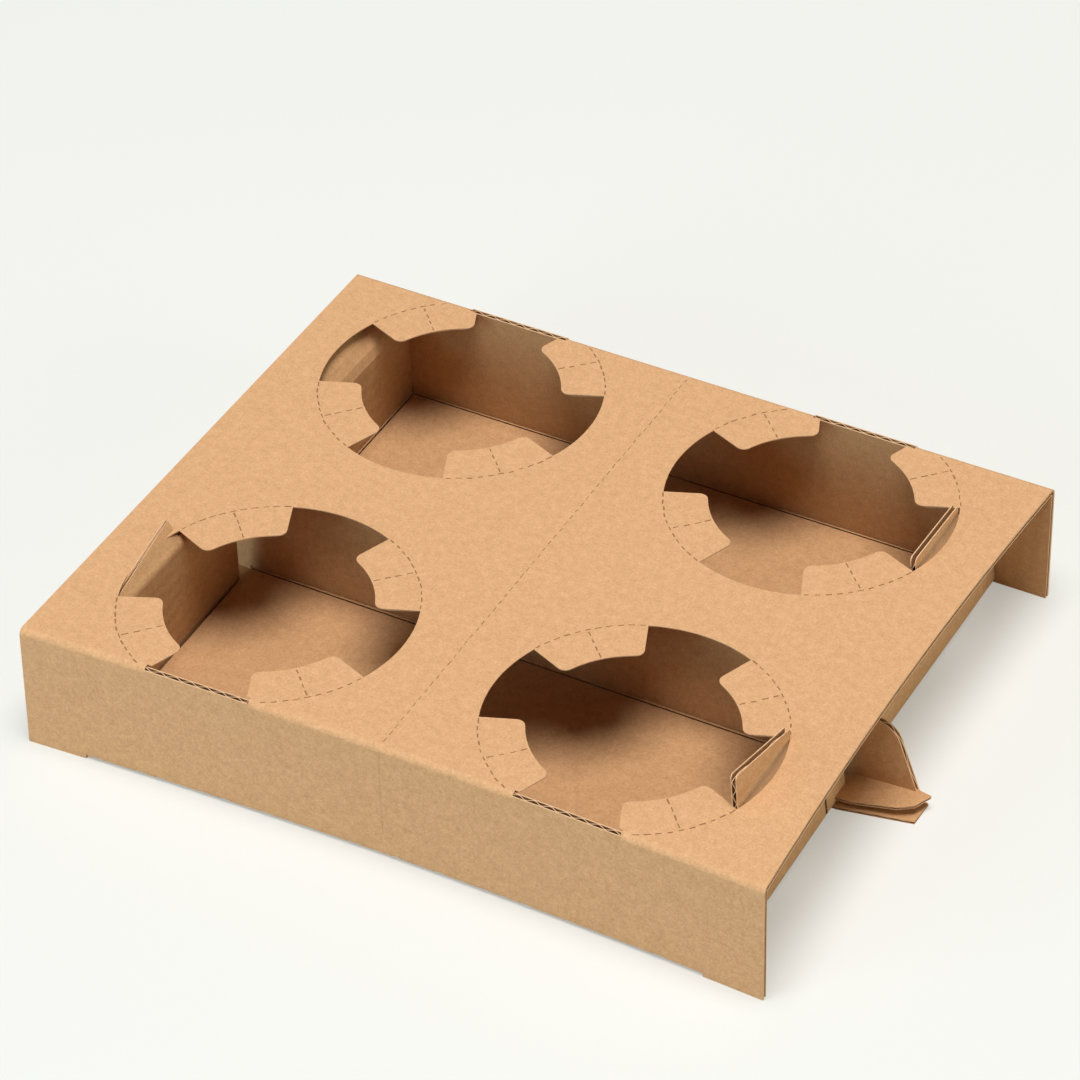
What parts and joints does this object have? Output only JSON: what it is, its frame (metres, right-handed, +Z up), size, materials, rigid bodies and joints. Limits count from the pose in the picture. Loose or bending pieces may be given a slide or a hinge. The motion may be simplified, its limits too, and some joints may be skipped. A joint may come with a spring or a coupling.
{
  "type": "cardboard cup carrier",
  "caption": "Folded corrugated board tray whose panel has round mouths with grip tabs that hold takeaway cups; a partition and hooked end flaps keep it open.",
  "frame": {"origin": "under the middle of the tray, on the plane that it rests on", "axes": "+X along the tray's length, +Y from the front wall to the back wall, +Z up"},
  "size_m": [0.2404, 0.1836, 0.051],
  "materials": {
    "kraft_board": "matte unbleached kraft liner"
  },
  "bodies": {
    "root": {"carrier": "kraft_board"}
  },
  "joints": []
}
